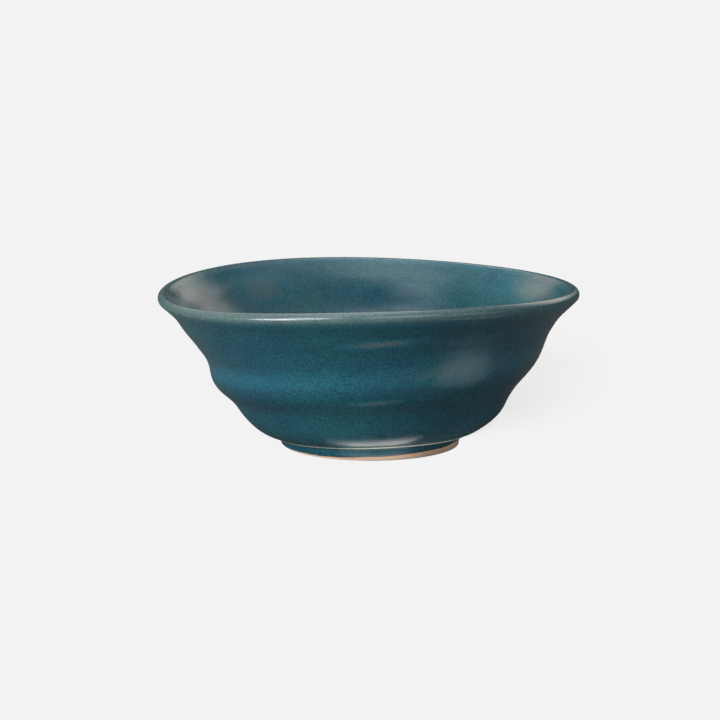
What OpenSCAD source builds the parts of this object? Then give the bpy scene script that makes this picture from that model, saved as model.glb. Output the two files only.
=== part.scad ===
// Hand-thrown prep bowl: a stoneware body on a thrown foot ring, under one dipped coat of glaze.
// Millimetres, +Z up. The origin lies on the table, under the middle of the foot.
// A turn is in degrees, anticlockwise from +X as seen from above, so the front of the bowl is at 270.

/* [Bowl] */
// Diameter across the lip, with its glaze
rim_d = 140; // [124:1:170]
// Height of the lip above the table, as its mean all round
bowl_h = 53.2; // [44:0.2:70]
// Clay thickness of the wall where it leaves the foot
wall_t = 4.2; // [3.4:0.1:6]
// Clay thickness of the wall at the lip, which ends in a half round
lip_t = 3; // [2:0.1:4.4]
// Clay thickness in the middle of the floor
floor_t = 4; // [3:0.1:6]
// Thickness of the fired glaze
glaze_t = 0.4; // [0.2:0.05:0.5]

/* [Foot ring] */
// Outer diameter of the ring where it meets the bowl
foot_d = 58.4; // [48:0.2:70]
// Height of the ring, from the table to the bowl's flat underside
foot_h = 3.2; // [2.8:0.1:6]
// Width of the ring, from its outer side to its well
foot_w = 4.6; // [3.4:0.1:8]
// How much the ring's outer and inner sides draw in towards the table
foot_draft = 0.4; // [0.1:0.05:0.8]
// Radius of the two edges that the ring stands on
foot_round = 0.3; // [0.1:0.05:0.8]

/* [Glaze line on the foot] */
// Height of the bare clay under the glaze line, as its mean all round
bare_h = 1.05; // [0.9:0.05:1.3]
// How much higher the glaze line stands on the side where the bowl came out of the dip last
bare_tilt = 0.75; // [0:0.05:0.85]
// Turn of that side
bare_turn = 355; // [0:5:360]
// Reach of the glaze that has pooled in the corner between bowl and ring
pool = 0.5; // [0.1:0.05:0.7]

/* [Throwing rings] */
// Rise of the spiral groove in one turn
ring_pitch = 21.7; // [14:0.1:34]
// How far the spiral ridge stands out of the wall, and its valley sinks in
ring_depth = 0.9; // [0:0.05:1.4]
// Height of the ridge's crest at turn 0, before its lean
ring_start = 10.8; // [0:0.2:34]
// How much the spiral sinks on the right and rises on the left, out of level
ring_lean = 1; // [0:0.1:3]
// Sharpness of the ridge against its valley, where 1 is even
ring_sharpness = 1.3; // [1:0.1:2]

/* [Hand-made rim] */
// Fall of the lip at two opposite places, and its rise between them
saddle = 1.6; // [0:0.1:3]
// Turn of the first of the two low places
saddle_turn = 20; // [0:5:180]
// Rise of the lip at one side, and its fall at the other
rim_lean = 0.55; // [0:0.05:1.5]
// Turn of the side that rises
rim_lean_turn = 0; // [0:5:360]
// Rise of the lip at three even places, and its fall between them
ripple = 0.3; // [0:0.05:1]
// Turn of the first of the three high places
ripple_turn = 25; // [0:5:120]
// Reach of the lip out of round, at three even places
egg = 1.05; // [0:0.05:2]
// Turn of the first of those three places
egg_turn = 40; // [0:5:120]

/* [Hidden] */

// The wall's middle line as shares of the way from the foot to the lip, outwards and upwards.
wall_shares = [
    [0, 0], [0.08, 0.015], [0.195, 0.06], [0.31, 0.15], [0.415, 0.27], [0.52, 0.4],
    [0.6, 0.53], [0.7, 0.66], [0.78, 0.78], [0.865, 0.89], [1, 1]
];
// How much of the groove shows, against the share of the way up the wall.
outside_groove_shares = [[0, 0], [0.12, 0.28], [0.28, 1], [0.55, 1], [0.82, 0.42], [1, 0]];
inside_groove_shares = [[0, 0], [0.27, 0], [0.5, 0.6], [0.82, 0.3], [1, 0]];
// Share of the way up the wall where the round of the floor begins.
floor_join_share = 0.27;
// Places on the floor, as shares of the radius where its round begins.
floor_shares = [0.94, 0.84, 0.7, 0.4];

around = 64;
span_steps = 2;
lip_steps = 4;
edge_steps = 4;

foot_r = foot_d / 2;
// Corner of the faceted clay and glaze at the foot, whose flats just touch the ring's true circle.
foot_corner = foot_r / cos(180 / around);
spans = len(wall_shares) - 1;
rows = spans * span_steps;
wall_start = [foot_r, foot_h + wall_t / 2];
wall_end = [rim_d / 2 - glaze_t - lip_t / 2, bowl_h - glaze_t - lip_t / 2];

function mix(a, b, share) = a + (b - a) * share;

// Knots of the middle line, with one more past each end so that the curve starts and stops straight.
function knot(k) =
    k < 0 ? 2 * knot(0) - knot(1) :
    k > spans ? 2 * knot(spans) - knot(spans - 1) :
    [for (axis = [0, 1]) mix(wall_start[axis], wall_end[axis], wall_shares[k][axis])];

// A smooth curve through the knots b and c, and its direction, at a share t of the way between them.
function through(a, b, c, d, t) =
    (2 * b + (c - a) * t + (2 * a - 5 * b + 4 * c - d) * t * t + (3 * b - a - 3 * c + d) * t * t * t) / 2;
function heading(a, b, c, d, t) =
    (c - a) / 2 + (2 * a - 5 * b + 4 * c - d) * t + (3 * b - a - 3 * c + d) * t * t * 3 / 2;
function span_of(row) = min(floor(row / span_steps), spans - 1);
function part_of(row) = row / span_steps - span_of(row);

middle = [for (row = [0:rows]) let (k = span_of(row))
    through(knot(k - 1), knot(k), knot(k + 1), knot(k + 2), part_of(row))];
along = [for (row = [0:rows]) let (
    k = span_of(row),
    way = heading(knot(k - 1), knot(k), knot(k + 1), knot(k + 2), part_of(row))
) way / norm(way)];
outward = [for (way = along) [way.y, -way.x]];
up_share = [for (place = middle) (place.y - wall_start.y) / (wall_end.y - wall_start.y)];
half_t = [for (share = up_share) mix(wall_t, lip_t, share) / 2];
join_row = min([for (row = [0:rows]) if (up_share[row] >= floor_join_share) row]);

// Height of the spiral ridge over the wall at one row and turn, as a share of its depth.
function ridge(row, turn) = let (
    climb = middle[row].y - ring_start + ring_lean * cos(turn),
    phase = 360 * climb / ring_pitch - turn
) 2 * pow((1 + cos(phase)) / 2, ring_sharpness) - 1;

// A point of the wall's outside, inside, lip or floor as [radius, height], under a skin of that thickness.
function outside(row, turn, skin) =
    middle[row] + outward[row] * (half_t[row] + skin
        + ring_depth * ridge(row, turn) * lookup(up_share[row], outside_groove_shares));
function inside(row, turn, skin) =
    middle[row] - outward[row] * (half_t[row] + skin
        - ring_depth * ridge(row, turn) * lookup(up_share[row], inside_groove_shares));
function lip(step, skin) = let (swing = 180 * step / lip_steps)
    middle[rows] + (outward[rows] * cos(swing) + along[rows] * sin(swing)) * (lip_t / 2 + skin);
function on_floor(share, turn, skin) = let (
    join = inside(join_row, turn, skin),
    low = foot_h + floor_t + skin,
    slope = along[join_row].y / along[join_row].x
) [join.x * share, low + (join.y - low) * pow(share, join.x * slope / (join.y - low))];

// The whole upper surface in one turn, from the foot up the outside, over the lip and down to the floor.
function skin_line(turn, skin) = concat(
    [for (row = [1:rows]) outside(row, turn, skin)],
    [for (step = [1:lip_steps - 1]) lip(step, skin)],
    [for (row = [rows:-1:join_row]) inside(row, turn, skin)],
    [for (share = floor_shares) on_floor(share, turn, skin)],
    [[0, foot_h + floor_t + skin]]
);
function backwards(list) = [for (i = [len(list) - 1:-1:0]) list[i]];

// The hand-made rim: the higher a point lies, the more it moves, and nothing moves at the foot.
function by_hand(place, turn) = let (
    up = max(0, (place.y - foot_h) / (bowl_h - foot_h)),
    out_of_round = egg / (rim_d / 2) * cos(3 * (turn - egg_turn)),
    fall = saddle * cos(2 * (turn - saddle_turn))
        - rim_lean * cos(turn - rim_lean_turn) - ripple * cos(3 * (turn - ripple_turn))
) [place.x * (1 + up * up * out_of_round), place.y - up * up * fall];

// How far the sides of the foot ring have drawn in at a height, and the height of the glaze line on it.
function drawn_in(height) = foot_draft * (foot_h - height) / (foot_h - foot_round);
function glaze_line(turn) = bare_h + bare_tilt * cos(turn - bare_turn);

// The glaze on the foot ring at one turn, from the corner under the bowl down to its line and back up the clay.
function foot_glaze(turn) = let (
    line = glaze_line(turn),
    pooled = min(pool, (foot_h - line - glaze_t) / 2),
    pool_end = foot_h - glaze_t - pooled
) [
    [foot_corner + glaze_t + pooled, foot_h - glaze_t + pooled * along[0].y],
    [foot_corner - drawn_in(pool_end) + glaze_t, pool_end],
    [foot_corner - drawn_in(line) + glaze_t, line + glaze_t / 2],
    [foot_corner - drawn_in(line), line],
    [foot_corner, foot_h]
];

// A closed solid from one line for each turn, whose two ends lie on the axis.
module turned(lines, inside_out = false) {
    last = len(lines[0]) - 1;
    points = concat(
        [[0, 0, lines[0][0].y], [0, 0, lines[0][last].y]],
        [for (i = [1:last - 1]) for (j = [0:around - 1]) let (turn = 360 * j / around, place = lines[j][i])
            [place.x * cos(turn), place.x * sin(turn), place.y]]
    );
    function at(i, j) = 2 + (i - 1) * around + j % around;
    faces = concat(
        [for (j = [0:around - 1]) [0, at(1, j), at(1, j + 1)]],
        [for (i = [1:last - 2]) for (j = [0:around - 1]) each [
            [at(i, j), at(i + 1, j), at(i + 1, j + 1)],
            [at(i, j), at(i + 1, j + 1), at(i, j + 1)]
        ]],
        [for (j = [0:around - 1]) [at(last - 1, j), 1, at(last - 1, j + 1)]]
    );
    polyhedron(points, inside_out ? [for (face = faces) backwards(face)] : faces);
}

// Thrown clay wall and floor, with a flat underside inside the foot.
module clay_body() {
    color("#C9A48A")
    turned([for (j = [0:around - 1]) let (turn = 360 * j / around) [
        for (place = concat(
            [[0, foot_h], [foot_corner, foot_h]],
            skin_line(turn, 0)
        )) by_hand(place, turn)
    ]]);
}

// Ring that the bowl stands on, luted to the underside, with a drawn-in and rounded foot.
module foot_ring() {
    outer = foot_r - foot_draft;
    inner = foot_r - foot_w + foot_draft;
    color("#D2AE92")
    rotate_extrude($fn = 2 * around)
        polygon(concat(
            [[foot_r, foot_h], [foot_r - foot_w, foot_h]],
            [for (step = [0:edge_steps]) let (swing = 90 * step / edge_steps)
                [inner + foot_round * (1 - cos(swing)), foot_round * (1 - sin(swing))]],
            [for (step = [edge_steps:-1:0]) let (swing = 90 * step / edge_steps)
                [outer - foot_round * (1 - cos(swing)), foot_round * (1 - sin(swing))]]
        ));
}

// One dipped coat over the inside, the lip and the outside, down to its line on the foot ring.
module glaze_coat() {
    color("#1F5767")
    turned([for (j = [0:around - 1]) let (turn = 360 * j / around) [
        for (place = concat(
            backwards(skin_line(turn, glaze_t)),
            foot_glaze(turn),
            skin_line(turn, 0)
        )) by_hand(place, turn)
    ]], inside_out = true);
}

clay_body();
foot_ring();
glaze_coat();
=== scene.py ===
# Hand-thrown prep bowl: a stoneware body on a foot ring, under one dipped coat of satin teal glaze.
# Metres, +Z up. A turn is in radians, anticlockwise from +X as seen from above.
import math
from functools import partial

import bpy
import numpy as np
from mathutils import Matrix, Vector


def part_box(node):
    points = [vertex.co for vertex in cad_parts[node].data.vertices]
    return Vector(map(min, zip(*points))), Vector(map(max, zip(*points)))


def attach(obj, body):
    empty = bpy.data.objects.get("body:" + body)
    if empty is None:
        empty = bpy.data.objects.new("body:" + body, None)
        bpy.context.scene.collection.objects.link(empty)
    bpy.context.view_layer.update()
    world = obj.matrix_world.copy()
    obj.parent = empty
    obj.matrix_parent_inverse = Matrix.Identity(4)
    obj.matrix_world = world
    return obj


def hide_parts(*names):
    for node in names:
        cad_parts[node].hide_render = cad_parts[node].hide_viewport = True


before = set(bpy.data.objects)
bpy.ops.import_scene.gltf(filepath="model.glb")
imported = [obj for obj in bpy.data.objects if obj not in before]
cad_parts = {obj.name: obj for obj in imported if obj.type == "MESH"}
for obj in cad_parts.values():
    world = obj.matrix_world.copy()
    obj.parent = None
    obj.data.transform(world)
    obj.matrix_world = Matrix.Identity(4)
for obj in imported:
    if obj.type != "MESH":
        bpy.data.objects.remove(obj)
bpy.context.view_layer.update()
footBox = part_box("foot_ring")
bpy.ops.object.select_all(action="DESELECT")
print("frame loaded:", ", ".join(sorted(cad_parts)))

# The thrown form, which the glaze and the clay share
bowl = {
    "rimRadius": 0.07,          # with its glaze
    "height": 0.0532,           # mean height of the lip
    "wallThick": 0.0042,        # clay at the foot
    "lipThick": 0.003,          # clay at the lip, which ends in a half round
    "floorThick": 0.004,
    "footRadius": footBox[1].x,
    "footHeight": footBox[1].z,
    "wallShares": [             # middle of the wall, as shares of the way outwards and upwards
        (0, 0), (0.08, 0.015), (0.195, 0.06), (0.31, 0.15), (0.415, 0.27), (0.52, 0.4),
        (0.6, 0.53), (0.7, 0.66), (0.78, 0.78), (0.865, 0.89), (1, 1),
    ],
    "outsideGrooveShares": [(0, 0), (0.12, 0.28), (0.28, 1), (0.55, 1), (0.82, 0.42), (1, 0)],
    "insideGrooveShares": [(0, 0), (0.27, 0), (0.5, 0.6), (0.82, 0.3), (1, 0)],
    "cornerShare": 0.2,         # share of the wall's first span that is left to the corner over the foot
    "floorJoin": 4,             # knot of the wall where the round of the floor begins
    "ringPitch": 0.0217,        # rise of the spiral ridge in one turn
    "ringDepth": 0.0009,
    "ringStart": 0.0108,
    "ringLean": 0.001,
    "ringSharpness": 1.3,
    "swirlDepth": 0.0001,       # finger spiral left on the floor inside
    "swirlPitch": 0.0058,
    "saddle": 0.0016,
    "saddleTurn": math.radians(20),
    "rimLean": 0.00055,
    "rimLeanTurn": 0,
    "ripple": 0.0003,
    "rippleTurn": math.radians(25),
    "egg": 0.00105,
    "eggTurn": math.radians(40),
    "around": 240,              # steps of the spin
}


def mix(a, b, share):
    return a + (b - a) * share


def softStep(value, start, end):
    share = np.clip((value - start) / (end - start), 0, 1)
    return share * share * (3 - 2 * share)


def smoothLookUp(share, table):
    # A curve through the table's places, with no corner at any of them
    places, values = np.array(table, float).T
    slopes = np.gradient(values, places)
    slopes[[0, -1]] = 0
    k = int(np.clip(np.searchsorted(places, share) - 1, 0, len(places) - 2))
    span = places[k + 1] - places[k]
    t = min(max((share - places[k]) / span, 0), 1)
    return (values[k] * (2 * t**3 - 3 * t**2 + 1) + slopes[k] * span * (t**3 - 2 * t**2 + t)
            + values[k + 1] * (3 * t**2 - 2 * t**3) + slopes[k + 1] * span * (t**3 - t**2))


def wallEnds():
    inset = glaze["thick"] + bowl["lipThick"] / 2
    start = np.array([bowl["footRadius"], bowl["footHeight"] + bowl["wallThick"] / 2])
    return start, np.array([bowl["rimRadius"] - inset, bowl["height"] - inset])


def knot(k):
    last = len(bowl["wallShares"]) - 1
    if k < 0:
        return 2 * knot(0) - knot(1)
    if k > last:
        return 2 * knot(last) - knot(last - 1)
    start, end = wallEnds()
    return mix(start, end, np.array(bowl["wallShares"][k], float))


def middleLine(reach):
    # Place and direction of the wall's middle line, where reach counts knots up from the foot
    k = min(int(reach), len(bowl["wallShares"]) - 2)
    a, b, c, d = (knot(k + step) for step in (-1, 0, 1, 2))
    t = reach - k
    place = (2 * b + (c - a) * t + (2 * a - 5 * b + 4 * c - d) * t**2 + (3 * b - a - 3 * c + d) * t**3) / 2
    way = (c - a) / 2 + (2 * a - 5 * b + 4 * c - d) * t + (3 * b - a - 3 * c + d) * t**2 * 3 / 2
    return place, way / np.linalg.norm(way)


def upTheWall(height):
    start, end = wallEnds()
    return (height - start[1]) / (end[1] - start[1])


def ridgePhase(height, turn):
    # 0 on the spiral ridge's crest, and growing upwards
    climb = height - bowl["ringStart"] + bowl["ringLean"] * np.cos(turn)
    return 2 * np.pi * climb / bowl["ringPitch"] - turn


def ridge(height, turn):
    # Height of the spiral ridge over the wall, as a share of its depth
    return 2 * ((1 + np.cos(ridgePhase(height, turn))) / 2) ** bowl["ringSharpness"] - 1


def wallSkin(reach, side, skin, turn):
    # A place on the wall's outside, where side is 1, or on its inside, where it is -1
    place, way = middleLine(reach)
    up = upTheWall(place[1])
    groove = bowl["outsideGrooveShares"] if side > 0 else bowl["insideGrooveShares"]
    thick = mix(bowl["wallThick"], bowl["lipThick"], up) / 2 + skin
    off = side * thick + bowl["ringDepth"] * ridge(place[1], turn) * smoothLookUp(up, groove)
    if side > 0 and skin > 0:
        out, rise, width = glaze["edgeBead"]
        off = off + rise * math.exp(-((place[0] - bowl["footRadius"] - out) / width) ** 2)
    return place[0] + way[1] * off, place[1] - way[0] * off


def lipSkin(swing, skin, turn):
    # The half round of the lip, where 0 * turn gives every turn a value of its own
    place, way = middleLine(len(bowl["wallShares"]) - 1)
    off = bowl["lipThick"] / 2 + skin
    across, up = math.cos(swing) * off, math.sin(swing) * off
    return (place[0] + way[1] * across + way[0] * up + 0 * turn,
            place[1] - way[0] * across + way[1] * up + 0 * turn)


def floorSkin(share, skin, turn):
    joinRadius, joinHeight = wallSkin(bowl["floorJoin"], -1, skin, turn)
    way = middleLine(bowl["floorJoin"])[1]
    low = bowl["footHeight"] + bowl["floorThick"] + skin
    power = joinRadius * way[1] / way[0] / (joinHeight - low)
    radius = joinRadius * share
    swirl = np.cos(2 * np.pi * radius / bowl["swirlPitch"] + turn) * (share * (1 - share) * 4) ** 2
    return radius, low + (joinHeight - low) * share**power + bowl["swirlDepth"] * swirl


def onAxis(height, turn):
    return 0 * turn, height + 0 * turn


def upperSkin(skin, counts):
    # The bowl's whole upper surface, from the foot up the outside, over the lip and down to the floor
    spanSteps, lipSteps, floorSteps = counts["stepsPerSpan"], counts["lipSteps"], counts["floorSteps"]
    last = len(bowl["wallShares"]) - 1
    rows = last * spanSteps
    firstRow = max(1, int(spanSteps * bowl["cornerShare"]))
    joinRow = bowl["floorJoin"] * spanSteps
    outside = [partial(wallSkin, row / spanSteps, 1, skin) for row in range(firstRow, rows + 1)]
    lip = [partial(lipSkin, math.pi * step / lipSteps, skin) for step in range(1, lipSteps)]
    inside = [partial(wallSkin, row / spanSteps, -1, skin) for row in range(rows, joinRow - 1, -1)]
    floor = [partial(floorSkin, 1 - step / floorSteps, skin) for step in range(1, floorSteps)]
    centre = bowl["footHeight"] + bowl["floorThick"] + skin
    return outside + lip + inside + floor + [partial(onAxis, centre)]


def byHand(radius, height, turn):
    # The hand-made rim: the higher a point lies, the more it moves, and nothing moves at the foot
    up = np.maximum(0, (height - bowl["footHeight"]) / (bowl["height"] - bowl["footHeight"])) ** 2
    outOfRound = bowl["egg"] / bowl["rimRadius"] * np.cos(3 * (turn - bowl["eggTurn"]))
    fall = (bowl["saddle"] * np.cos(2 * (turn - bowl["saddleTurn"]))
            - bowl["rimLean"] * np.cos(turn - bowl["rimLeanTurn"])
            - bowl["ripple"] * np.cos(3 * (turn - bowl["rippleTurn"])))
    return radius * (1 + up * outOfRound), height - up * fall


def throwPiece(name, places, tone):
    # A profile is extruded point by point and spun on the wheel's axis, then pressed to its hand-made form
    line = np.array([place(0.0) for place in places], float)
    bpy.ops.object.select_all(action="DESELECT")
    bpy.ops.mesh.primitive_plane_add(size=0.001, location=(line[0][0], 0, line[0][1]))
    piece = bpy.context.object
    piece.name = piece.data.name = name
    bpy.ops.object.transform_apply(location=True)
    bpy.ops.object.mode_set(mode="EDIT")
    bpy.ops.mesh.select_all(action="SELECT")
    bpy.ops.mesh.merge(type="CENTER")
    for step in np.diff(line, axis=0):
        bpy.ops.mesh.extrude_region_move(TRANSFORM_OT_translate={"value": (step[0], 0, step[1])})
    bpy.ops.mesh.select_all(action="SELECT")
    bpy.ops.mesh.spin(steps=bowl["around"], angle=2 * math.pi, center=(0, 0, 0), axis=(0, 0, 1))
    bpy.ops.mesh.select_all(action="SELECT")
    bpy.ops.mesh.remove_doubles(threshold=0.000001)
    bpy.ops.mesh.normals_make_consistent(inside=False)
    bpy.ops.object.mode_set(mode="OBJECT")
    pressToForm(piece, line, places, tone)
    bpy.ops.object.shade_smooth()
    print(f"{name}: {len(places)} rows, {len(piece.data.polygons)} faces")
    return piece


def pressToForm(piece, line, places, tone):
    # Each point goes to its row's place at its own turn, and keeps a tone for the material
    spots = np.empty(len(piece.data.vertices) * 3)
    piece.data.vertices.foreach_get("co", spots)
    spots = spots.reshape(-1, 3)
    toneAt = np.zeros(len(spots))
    radius, height = np.hypot(spots[:, 0], spots[:, 1]), spots[:, 2]
    turn = np.arctan2(spots[:, 1], spots[:, 0])
    row = np.argmin(np.hypot(radius[:, None] - line[:, 0], height[:, None] - line[:, 1]), axis=1)
    for k, place in enumerate(places):
        inRow = row == k
        at = turn[inRow]
        out, up = place(at)
        toneAt[inRow] = tone(k, out, up, at)
        out, up = trimFoot(out, up, at)
        out, up = byHand(out, up, at)
        spots[inRow] = np.stack([out * np.cos(at), out * np.sin(at), up], axis=1)
    piece.data.vertices.foreach_set("co", spots.ravel())
    piece.data.attributes.new("tone", "FLOAT", "POINT").data.foreach_set("value", toneAt)
    piece.data.update()


# The tone of the glaze is 0 where it pooled, and 1 on the line along the belly's lowest edge, where the glaze
# breaks thin and is painted paler than the clay as a reflection
tones = {"even": 0.5, "bright": 0.6, "thin": 0.82}
glaze = {
    "thick": 0.0004,
    "pool": 0.0005,             # reach of the glaze pooled in the corner over the foot
    "bareHeight": 0.00105,      # bare clay under the glaze line, as its mean all round
    "bareTilt": 0.00075,
    "bareTurn": math.radians(355),
    "bareWaves": [(5, 0.00005, 1.0), (9, 0.00004, 2.6), (16, 0.00002, 0.4)],  # count, height, turn
    "bead": 0.00008,            # how much the glaze thickens where it stopped running
    "edgeBead": (0.0017, 0.0003, 0.0007),   # fine bead along the belly's lowest edge: way out, height, reach
    "edgeBreakSheen": (0.003, 0.0011),   # pale line on that bead, where the glaze breaks thin, with a painted reflection: way out, reach
    "lipReach": (0.0055, 0.0022),   # how far down from the lip the glaze stays thin, outside and inside
    "lipParts": 3,              # the topmost of so many parts of that reach is the thinnest all over
    "lipThinAndLitTone": (0.215, 0.095, math.radians(235)),   # how much paler the lip is: mean for its thin glaze, change around the bowl as painted light, turn where that painted light is strongest
    "ridgePaintedShading": 0.08,          # painted light on the ridge's upper flanks and painted shade below its crests
    "mostTone": 0.32,           # the most that the lip's thin glaze and painted light, the ridge's painted shading and the painted highlight spots add up to
    "breakSheenTone": 0.5,           # how much paler the line on the bead is, partly thin glaze and partly painted reflection
    "breakTop": 0.003,          # no pale line further over the foot than this
    "poolTone": 0.3,            # how much darker the glaze is where it pooled
    "poolRadius": 0.03,         # reach of the pooled glaze on the floor inside
    "poolHeights": (0.0022, 0.0042),    # where it is pooled on the foot, and where that ends
    "paintedHighlightSpots": [              # painted highlights, as paler glaze: side (1 is outside), turn, height, reach along, reach up, how much paler
        (1, math.radians(273), 0.0428, 0.011, 0.0012, 0.32),
        (1, math.radians(273), 0.0232, 0.011, 0.0011, 0.36),
        (1, math.radians(300), 0.0345, 0.016, 0.0034, 0.14),
        (-1, math.radians(21), 0.0485, 0.019, 0.005, 0.3),
        (-1, math.radians(129), 0.0445, 0.011, 0.0045, 0.24),
    ],
    "stepsPerSpan": 16,
    "lipSteps": 20,
    "floorSteps": 40,
    "edgeSteps": 8,
    "underSteps": 4,
}


def glazeLine(turn):
    waves = sum(rise * np.cos(count * turn + start) for count, rise, start in glaze["bareWaves"])
    return glaze["bareHeight"] + glaze["bareTilt"] * np.cos(turn - glaze["bareTurn"]) + waves


def footCorner(share, turn):
    # The glaze pooled in the corner between bowl and ring, from the belly down to the ring's side
    slope = middleLine(0)[1]
    thick, pool = glaze["thick"], glaze["pool"]
    corner = bowl["footRadius"] + thick, bowl["footHeight"] - thick
    onBelly = corner[0] + pool, corner[1] + pool * slope[1]
    sideHeight = corner[1] - np.minimum(pool, (bowl["footHeight"] - glazeLine(turn) - thick) / 2)
    onSide = bowl["footRadius"] - drawnIn(sideHeight) + thick, sideHeight
    return tuple(onBelly[i] * (1 - share) ** 2 + corner[i] * 2 * share * (1 - share) + onSide[i] * share**2
                 for i in (0, 1))


def glazeEdge(swing, turn):
    # The rounded end of the glaze on the ring's side, from full thickness down to the clay
    line = glazeLine(turn)
    height = line + glaze["thick"] * (1 - math.sin(swing))
    thick = (glaze["thick"] + glaze["bead"]) * math.cos(swing)
    return bowl["footRadius"] - drawnIn(height) + thick, height


def clayUnderGlaze(share, turn):
    height = mix(glazeLine(turn), bowl["footHeight"], share)
    return bowl["footRadius"] - drawnIn(height), height


def paintedHighlightSpots(side, radius, height, turn):
    # Painted highlight spots; they rise with the spiral
    total = 0 * turn
    for spotSide, spotTurn, spotHeight, along, up, amount in glaze["paintedHighlightSpots"]:
        if spotSide != side:
            continue
        swing = (turn - spotTurn + np.pi) % (2 * np.pi) - np.pi
        rise = height - spotHeight - bowl["ringPitch"] * swing / (2 * np.pi)
        total = total + amount * np.exp(-(swing * radius / along) ** 2 - (rise / up) ** 2)
    return total


def makeGlaze():
    edgeSteps, underSteps = glaze["edgeSteps"], glaze["underSteps"]
    outer = upperSkin(glaze["thick"], glaze)
    corner = [partial(footCorner, step / edgeSteps) for step in range(edgeSteps + 1)]
    edge = [partial(glazeEdge, math.pi / 2 * step / edgeSteps) for step in range(edgeSteps + 1)]
    under = [partial(clayUnderGlaze, step / underSteps) for step in range(1, underSteps + 1)]
    inner = upperSkin(0, clayBody)
    outsideRows = len(bowl["wallShares"]) * glaze["stepsPerSpan"]
    lipRow = len(outer) - outsideRows
    breakOut, breakReach = glaze["edgeBreakSheen"]
    breakRadius = bowl["footRadius"] + breakOut

    def thinnessAndPaintedLight(k, radius, height, turn):
        # The rows climb the inside from the middle of the floor, and past lipRow they go down the outside
        if k > lipRow:
            side, reach = 1, glaze["lipReach"][0]
            groove = smoothLookUp(float(np.mean(upTheWall(height))), bowl["outsideGrooveShares"])
            phase = ridgePhase(height, turn)
            # Painted shading: paler glaze above each crest of the ridge, darker below it
            ridgeShading = glaze["ridgePaintedShading"] * groove * np.sin(phase) * (1 + np.cos(phase))
            full, end = glaze["poolHeights"]
            pooled = np.clip((end - height) / (end - full), 0, 1)
        else:
            side, reach = -1, glaze["lipReach"][1]
            ridgeShading = 0
            pooled = np.clip(1 - radius / glaze["poolRadius"], 0, 1)
        # The lip is paler where its glaze is thin, and paler still towards the lamps' side, which is painted
        # light
        tone, change, litTurn = glaze["lipThinAndLitTone"]
        lip = softStep(height, bowl["height"] - reach, bowl["height"] - reach / glaze["lipParts"])
        lip = lip * (tone + change * np.cos(turn - litTurn))
        # Thin glaze and painted light together
        thin = np.minimum(ridgeShading + lip + paintedHighlightSpots(side, radius, height, turn), glaze["mostTone"])
        # Line along the belly's lowest edge: thin glaze on the bead, painted paler still as a reflection
        crease = np.exp(-((radius - breakRadius) / breakReach) ** 2)
        crease = crease * (height < bowl["footHeight"] + glaze["breakTop"])
        pooled = glaze["poolTone"] * pooled * (1 - crease)
        return np.clip(tones["even"] + thin + glaze["breakSheenTone"] * crease - pooled, 0, 1)

    return throwPiece("teal_glaze_coat", outer[::-1] + corner + edge + under + inner, thinnessAndPaintedLight)


clayBody = {
    "trimDepth": 0.00008,       # turning marks on the underside, inside the foot
    "trimPitch": 0.0021,
    "undersideSteps": 60,
    "stepsPerSpan": 4,
    "lipSteps": 8,
    "floorSteps": 10,
}


def underside(share, turn):
    # Flat where the foot ring is luted on, with shallow turning marks inside it
    radius = bowl["footRadius"] * share
    well = np.clip((bowl["footRadius"] - footRing["width"] - radius) / clayBody["trimPitch"], 0, 1)
    well = well * np.clip(radius / clayBody["trimPitch"], 0, 1)
    mark = (1 + np.cos(2 * np.pi * radius / clayBody["trimPitch"] - turn)) / 2
    return radius + 0 * turn, bowl["footHeight"] + clayBody["trimDepth"] * mark * well


def makeClay():
    steps = clayBody["undersideSteps"]
    under = [partial(underside, step / steps) for step in range(1, steps + 1)]
    places = [partial(onAxis, bowl["footHeight"])] + under + upperSkin(0, clayBody)
    return throwPiece("thrown_clay", places, lambda k, *place: 0)


footRing = {
    "width": 0.0046,
    "draft": 0.0004,            # how much both sides draw in towards the table
    "round": 0.0003,
    "fillet": 0.0005,           # slip smoothed into the corner inside the foot
    "lift": (0.0019, math.radians(292), 3),     # how much higher it is trimmed, at which turn, how steeply
    "liftHeights": (0.0008, 0.0032, 0.0042, 0.018),     # where the lift starts, is full, lets off and ends
    "liftRadii": (0.0257, 0.0287),              # where the lift and the spread start and are full
    "spread": (0.0003, 0.0005, 0.0003),         # how far it spreads: all round, to both sides, to the right
    "spreadHeights": (0.0032, 0.0062),          # where the spread lets off and ends
    "sideSteps": 34,
    "innerSkip": 4,             # the inner side takes only every fourth of those steps
    "roundSteps": 6,
    "toastReach": 0.0004,       # browner clay close under the glaze line
}


def drawnIn(height):
    # How far the sides of the foot ring have drawn in at a height
    foot = bowl["footHeight"]
    return footRing["draft"] * (foot - height) / (foot - footRing["round"])


def ringSide(side, height, turn):
    # The foot ring's outer side, where side is 1, or its inner side, where it is -1
    edge = bowl["footRadius"] if side > 0 else bowl["footRadius"] - footRing["width"]
    return edge - side * drawnIn(height) + 0 * turn, height + 0 * turn


def ringRound(side, swing, turn):
    # The rounded edge between a side of the foot ring and the face that it stands on
    size = footRing["round"]
    edge = ringSide(side, size, turn)[0] - side * size
    return edge + side * size * math.sin(swing), size * (1 - math.cos(swing)) + 0 * turn


def ringFillet(swing, turn):
    # The slip in the corner between the ring's inner side and the underside
    size = footRing["fillet"]
    edge = ringSide(-1, bowl["footHeight"], turn)[0]
    return edge - size * (1 - math.sin(swing)), bowl["footHeight"] - size * (1 - math.cos(swing)) + 0 * turn


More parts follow.
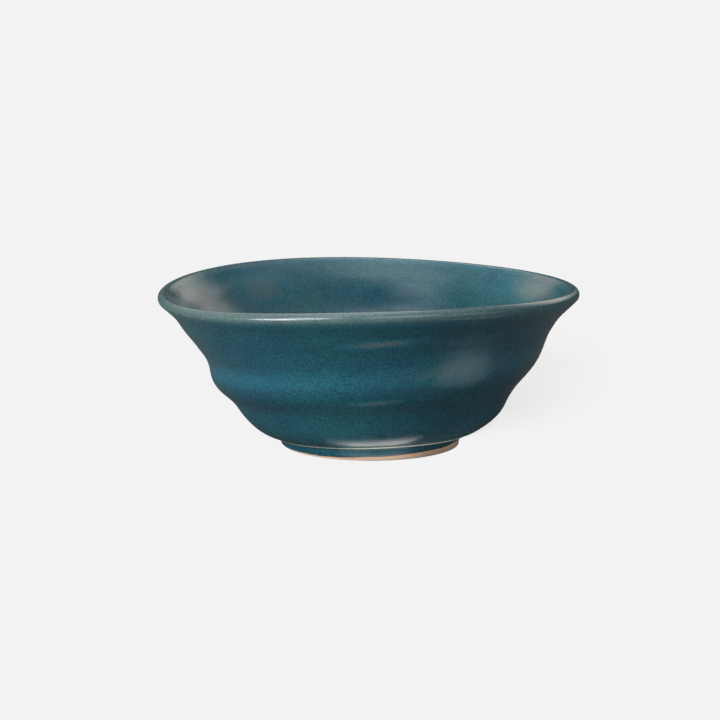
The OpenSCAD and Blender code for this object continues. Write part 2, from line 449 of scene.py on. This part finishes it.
def trimFoot(radius, height, turn):
    # The foot was trimmed unevenly: it stands higher at the front right, and spreads a little
    most, place, steepness = footRing["lift"]
    start, full, letOff, end = footRing["liftHeights"]
    outside = softStep(radius, *footRing["liftRadii"])
    lift = most * ((1 + np.cos(turn - place)) / 2) ** steepness
    lift = lift * softStep(height, start, full) * (1 - softStep(height, letOff, end))
    around, sideways, right = footRing["spread"]
    spread = around + sideways * np.cos(turn) ** 2 + right * np.cos(turn)
    spread = spread * (1 - softStep(height, *footRing["spreadHeights"]))
    return radius + outside * spread, height + outside * lift


def makeFootRing():
    steps, skip, turns = footRing["sideSteps"], footRing["innerSkip"], footRing["roundSteps"]
    heights = np.linspace(bowl["footHeight"], footRing["round"], steps)
    quarter = [math.pi / 2 * step / turns for step in range(turns + 1)]
    outer = [partial(ringSide, 1, height) for height in heights]
    outerRound = [partial(ringRound, 1, swing) for swing in quarter[-2::-1]]
    innerRound = [partial(ringRound, -1, swing) for swing in quarter]
    inner = [partial(ringSide, -1, height) for height in heights[-2:skip:-skip]]
    fillet = [partial(ringFillet, swing) for swing in quarter[::-1]]

    def toast(k, radius, height, turn):
        under = glazeLine(turn) - height
        outside = radius > bowl["footRadius"] - footRing["width"] / 2
        return np.where(outside, np.exp(-(under / footRing["toastReach"]) ** 2), 0)

    return throwPiece("bare_foot_ring", outer + outerRound + innerRound + inner + fillet + outer[:1], toast)


def addNode(tree, kind, inputs=(), **settings):
    made = tree.nodes.new(kind)
    for key, value in settings.items():
        setattr(made, key, value)
    for key, value in dict(inputs).items():
        if isinstance(value, bpy.types.NodeSocket):
            tree.links.new(value, made.inputs[key])
        else:
            made.inputs[key].default_value = value
    return made


def newMaterial(name):
    material = bpy.data.materials.new(name)
    material.use_nodes = True
    material.node_tree.nodes.clear()
    return material, material.node_tree


def mathNode(tree, operation, *values, **settings):
    inputs = dict(enumerate(values))
    return addNode(tree, "ShaderNodeMath", inputs, operation=operation, **settings).outputs[0]


def fineNoise(tree, vector, size, detail=2.0):
    scale = mathNode(tree, "DIVIDE", 1.0, size)
    noise = addNode(tree, "ShaderNodeTexNoise", {"Vector": vector, "Scale": scale, "Detail": detail})
    return noise.outputs[0]


def mapValue(tree, value, start, end, low, high, **settings):
    # A value from start to end is spread over low to high
    limits = {"Value": value, "From Min": start, "From Max": end, "To Min": low, "To Max": high}
    return addNode(tree, "ShaderNodeMapRange", limits, **settings).outputs[0]


fired = {
    "grainEnds": (0.25, 0.75),  # noise values at which the grain and the mottling are least and most
    "driftEnds": (0.3, 0.7),    # the same for the hue and the roughness
    "mottleShare": 0.15,        # strength of the mottling beside the grain
    "mottleDetail": 4.0,
    "driftWidth": 4.0,          # how much wider the patches of another hue are than the mottling
}


def buildFiredGrain():
    # Fired surface: fine grain and broad mottling that vary a colour, and are also given out on their own
    share = fired["mottleShare"]
    group = bpy.data.node_groups.new("firedGrain", "ShaderNodeTree")
    takes = {"Vector": "Vector", "Color": "Color", "Grain Size": "Float", "Mottle Size": "Float",
             "Contrast": "Float", "Hue Drift": "Float"}
    gives = {"Color": "Color", "Grain": "Float", "Mottle": "Float"}
    for sockets, way in ((takes, "INPUT"), (gives, "OUTPUT")):
        for name, kind in sockets.items():
            group.interface.new_socket(name, in_out=way, socket_type="NodeSocket" + kind)
    given = addNode(group, "NodeGroupInput").outputs
    grain = fineNoise(group, given["Vector"], given["Grain Size"])
    mottle = fineNoise(group, given["Vector"], given["Mottle Size"], fired["mottleDetail"])
    wide = mathNode(group, "MULTIPLY", given["Mottle Size"], fired["driftWidth"])
    drift = fineNoise(group, given["Vector"], wide)
    grainy = mapValue(group, grain, *fired["grainEnds"], -1.0, 1.0)
    patchy = mapValue(group, mottle, *fired["grainEnds"], -share, share)
    both = mathNode(group, "ADD", grainy, patchy)
    value = mathNode(group, "MULTIPLY_ADD", both, given["Contrast"], 1.0)
    shift = mapValue(group, drift, *fired["driftEnds"], -1.0, 1.0)
    hue = mathNode(group, "MULTIPLY_ADD", shift, given["Hue Drift"], 0.5)
    tinted = addNode(group, "ShaderNodeHueSaturation", {"Color": given["Color"], "Value": value, "Hue": hue})
    addNode(group, "NodeGroupOutput", {"Color": tinted.outputs[0], "Grain": grain, "Mottle": mottle})
    return group


firedGrain = buildFiredGrain()

# Looks, with linear colours
tealLook = {
    "pooledColor": (0.006, 0.048, 0.07),
    "color": (0.011, 0.068, 0.092),
    "brightColor": (0.014, 0.089, 0.122),
    "thinColor": (0.076, 0.118, 0.118),
    # paler than the bare clay: the painted reflection on the line along the belly's edge
    "breakSheenColor": (0.72, 0.7, 0.58),
    "roughness": (0.22, 0.3),
    "grainSize": 0.0007,
    "mottleSize": 0.006,
    "contrast": 0.5,
    "thinContrast": 0.3,
    "hueDrift": 0.012,
    "grainHeight": 0.000012,
}
clayLook = {
    "color": (0.47, 0.335, 0.26),
    "toastColor": (0.5, 0.3, 0.17),
    "roughness": (0.8, 0.95),
    "grainSize": 0.0003,
    "mottleSize": 0.003,
    "contrast": 0.3,
    "thinContrast": 0.3,
    "hueDrift": 0.01,
    "grainHeight": 0.00003,
}


def colourByTone(tree, tone, first, last, between=()):
    ramp = addNode(tree, "ShaderNodeValToRGB", {"Fac": tone})
    ramp.color_ramp.elements[0].color = (*first, 1)
    ramp.color_ramp.elements[1].color = (*last, 1)
    for place, color in between:
        ramp.color_ramp.elements.new(place).color = (*color, 1)
    return ramp.outputs[0]


def tealByThinnessAndLight(tree, tone):
    between = [(tones["even"], tealLook["color"]), (tones["bright"], tealLook["brightColor"]),
               (tones["thin"], tealLook["thinColor"])]
    return colourByTone(tree, tone, tealLook["pooledColor"], tealLook["breakSheenColor"], between)


def clayByToast(tree, tone):
    return colourByTone(tree, tone, clayLook["color"], clayLook["toastColor"])


def firedMaterial(name, look, colour):
    # A fired surface, where colour gives the node output that its base colour comes from
    material, tree = newMaterial(name)
    place = addNode(tree, "ShaderNodeTexCoord").outputs["Object"]
    tone = addNode(tree, "ShaderNodeAttribute", attribute_name="tone").outputs["Fac"]
    contrast = mapValue(tree, tone, tones["even"], tones["thin"], look["contrast"], look["thinContrast"])
    grain = addNode(tree, "ShaderNodeGroup", {
        "Vector": place, "Color": colour(tree, tone), "Grain Size": look["grainSize"],
        "Mottle Size": look["mottleSize"], "Contrast": contrast, "Hue Drift": look["hueDrift"],
    }, node_tree=firedGrain).outputs
    rough = mapValue(tree, grain["Mottle"], *fired["driftEnds"], *look["roughness"])
    bump = addNode(tree, "ShaderNodeBump", {"Height": grain["Grain"], "Distance": look["grainHeight"],
                                            "Strength": 1.0}).outputs[0]
    shader = addNode(tree, "ShaderNodeBsdfPrincipled", {"Base Color": grain["Color"], "Roughness": rough,
                                                        "Normal": bump})
    addNode(tree, "ShaderNodeOutputMaterial", {"Surface": shader.outputs[0]})
    return material


studio = {
    "pale": 0.888,              # floor and background, as the camera sees them
    "glossShare": 0.01,         # share of that paleness in mirrored rays, where 1 would be all of it
    "litShare": 0.82,           # share of the floor's paleness that the lamps make, which holds the shadow
    # low enough that the lit patches are also a painted soft shadow
    "shadedLitAlbedo": 0.85,
    "dimFloor": 0.12,           # the floor, as it lights the bowl and as the glaze mirrors it
    "floorSize": 6,
    "shadowPatches": [          # lit patches of floor: stretch, middle once stretched, fade out from there
        ((1.6, 0.5, 1), (0.06, 0.117, 0), (0.05, 0.115)),
        ((1, 0.9, 1), (0.008, 0.039, 0), (0.02, 0.043)),
    ],
    "lampDistance": 1.5,
    "lamps": {                  # turn and rise in degrees, width, height, watts, colour
        "keySoftbox": (214, 3, 0.5, 0.3, 16, (1, 1, 1)),
        "keyWideSoftbox": (222, 6, 1.2, 0.6, 5.6, (1, 1, 1)),
        "keyUpperSoftbox": (230, 18, 0.6, 0.4, 12, (1, 1, 1)),
        "frontSoftbox": (285, 15, 1.1, 0.5, 6.7, (1, 1, 1)),
        "frontUpperLamp": (235, 52, 0.6, 0.5, 1.8, (1, 1, 1)),
        "backRightLamp": (54, 27, 1.1, 0.6, 3.9, (1, 0.9, 0.8)),
        "backLeftLamp": (118, 32, 0.7, 0.5, 1.0, (1, 0.92, 0.84)),
        "backLamp": (106, 52, 0.5, 0.5, 3, (1, 0.97, 0.94)),
        "overheadLamp": (72, 75, 0.5, 0.5, 3.2, (1, 1, 1)),
        "topLamp": (240, 78, 1.0, 0.6, 2.9, (1, 1, 1)),
        "sideLamp": (328, 5, 0.8, 0.5, 1.8, (1, 1, 1)),
        "leftWallPanel": (160, 30, 1.4, 0.9, 1.6, (1, 1, 1)),
        "rightWallPanel": (20, 30, 1.2, 0.9, 1.0, (1, 1, 1)),
        "ceilingPanel": (270, 80, 3.0, 2.0, 11, (1, 1, 1)),
    },
    "cards": {                  # glowing cards on the floor: place, turn in degrees, size, watts, colour
        "sideCard": (0.064, -0.056, 0.0002, 44, 0.052, 0.015, 0.0023, (0.74, 0.92, 1)),
        "bounceCard": (0.0125, -0.0355, 0.0001, 14, 0.07, 0.015, 0.0021, (1, 0.98, 0.94)),
        "sideBounceCard": (0.0335, -0.0165, 0.0001, 65, 0.03, 0.01, 0.0007, (1, 0.95, 0.9)),
        "frontCardWide": (0.002, -0.0325, 0.0002, 2, 0.036, 0.0096, 0.00034, (1, 0.965, 0.9)),
        "frontCard": (0.0025, -0.0319, 0.0003, 2, 0.029, 0.0078, 0.00039, (1, 0.965, 0.9)),
        "frontCardCore": (0.003, -0.0313, 0.0004, 2, 0.022, 0.0062, 0.00026, (1, 0.965, 0.9)),
    },
    "lightingCards": ("sideCard", "bounceCard", "sideBounceCard"),
    "unmirroredCards": ("bounceCard", "sideBounceCard"),
    "world": 0.03,
}
camera = {
    "place": (-0.0033, -0.6915, 0.1488),
    "aim": (-0.0033, 0, 0.028),
    "lens": 105,
    "sensorWidth": 36,
    "clipStart": 0.01,
}


def paleShare(tree):
    # 1 for what the camera sees directly or through something clear, and a small share for mirrored rays
    path = addNode(tree, "ShaderNodeLightPath").outputs
    seen = mathNode(tree, "MAXIMUM", path["Is Camera Ray"], path["Is Transmission Ray"])
    return mathNode(tree, "MULTIPLY_ADD", path["Is Glossy Ray"], studio["glossShare"], seen, use_clamp=True)


def grey(value):
    return value, value, value, 1


def floorMaterial():
    # The lamps light the patches that hold the shadow, and the rest glows pale; the patches are also a little
    # darker than the glow, a painted soft shadow
    material, tree = newMaterial("paleFloor")
    place = addNode(tree, "ShaderNodeTexCoord").outputs["Object"]
    lit = 0.0
    for stretch, middle, fade in studio["shadowPatches"]:
        there = addNode(tree, "ShaderNodeVectorMath", {0: place, 1: stretch}, operation="MULTIPLY").outputs[0]
        away = addNode(tree, "ShaderNodeVectorMath", {0: there, 1: middle}, operation="DISTANCE").outputs
        patch = mapValue(tree, away["Value"], *fade, studio["litShare"], 0.0, interpolation_type="SMOOTHSTEP")
        lit = mathNode(tree, "MAXIMUM", lit, patch)
    shadedWhiteness = mathNode(tree, "MULTIPLY", lit, studio["shadedLitAlbedo"])
    litFloor = addNode(tree, "ShaderNodeBsdfDiffuse", {"Color": shadedWhiteness}).outputs[0]
    rest = mathNode(tree, "SUBTRACT", 1.0, lit)
    glow = addNode(tree, "ShaderNodeEmission", {"Color": grey(studio["pale"]), "Strength": rest}).outputs[0]
    pale = addNode(tree, "ShaderNodeAddShader", {0: glow, 1: litFloor}).outputs[0]
    dim = addNode(tree, "ShaderNodeBsdfDiffuse", {"Color": grey(studio["dimFloor"])}).outputs[0]
    whole = addNode(tree, "ShaderNodeMixShader", {0: paleShare(tree), 1: dim, 2: pale})
    addNode(tree, "ShaderNodeOutputMaterial", {"Surface": whole.outputs[0]})
    return material


def setWorld():
    world = bpy.data.worlds.new("studio")
    bpy.context.scene.world = world
    world.use_nodes = True
    tree = world.node_tree
    tree.nodes.clear()
    dim = addNode(tree, "ShaderNodeBackground", {"Strength": studio["world"]}).outputs[0]
    pale = addNode(tree, "ShaderNodeBackground", {"Color": grey(studio["pale"]), "Strength": 1.0}).outputs[0]
    whole = addNode(tree, "ShaderNodeMixShader", {0: paleShare(tree), 1: dim, 2: pale})
    addNode(tree, "ShaderNodeOutputWorld", {"Surface": whole.outputs[0]})


def addLamp(name, place, rotation, shape, length, width, watts, color):
    bpy.ops.object.light_add(type="AREA", location=place, rotation=rotation)
    lamp = bpy.context.object
    lamp.name = name
    lamp.data.shape = shape
    lamp.data.size = length
    lamp.data.size_y = width
    lamp.data.energy = watts
    lamp.data.color = color
    return lamp


def setStudio():
    bpy.context.scene.view_settings.view_transform = "Standard"
    setWorld()
    bpy.ops.mesh.primitive_plane_add(size=studio["floorSize"])
    floor = bpy.context.object
    floor.name = "floor"
    floor.data.materials.append(floorMaterial())
    middle = Vector((0, 0, bowl["height"] / 2))
    for name, (turn, rise, *lamp) in studio["lamps"].items():
        turn, rise = math.radians(turn), math.radians(rise)
        way = Vector((math.cos(rise) * math.cos(turn), math.cos(rise) * math.sin(turn), math.sin(rise)))
        rotation = (-way).to_track_quat("-Z", "Y").to_euler()
        addLamp(name, middle + way * studio["lampDistance"], rotation, "RECTANGLE", *lamp)
    for name, (x, y, z, turn, *lamp) in studio["cards"].items():
        card = addLamp(name, (x, y, z), (math.pi, 0, math.radians(turn)), "ELLIPSE", *lamp)
        card.visible_camera = False
        card.visible_diffuse = name in studio["lightingCards"]
        card.visible_glossy = name not in studio["unmirroredCards"]
    print("studio:", len(studio["lamps"]), "lamps,", len(studio["cards"]), "cards")


def setCamera():
    bpy.ops.object.camera_add(location=camera["place"])
    cam = bpy.context.object
    way = Vector(camera["aim"]) - cam.location
    cam.rotation_euler = way.to_track_quat("-Z", "Y").to_euler()
    cam.data.lens = camera["lens"]
    cam.data.sensor_width = camera["sensorWidth"]
    cam.data.clip_start = camera["clipStart"]
    bpy.context.scene.camera = cam


setCamera()
coat = makeGlaze()
clay = makeClay()
foot = makeFootRing()
tealGlaze = firedMaterial("tealGlaze", tealLook, tealByThinnessAndLight)
bareClay = firedMaterial("bareClay", clayLook, clayByToast)
for piece, node, slot, material in ((coat, "glaze_coat", "teal_glaze", tealGlaze),
                                    (clay, "clay_body", "bare_clay", bareClay),
                                    (foot, "foot_ring", "bare_clay", bareClay)):
    piece.data.materials.append(material)
    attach(piece, "root")
    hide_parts(node)
    print(f"{piece.name}: {material.name}, in place of {node}")
setStudio()
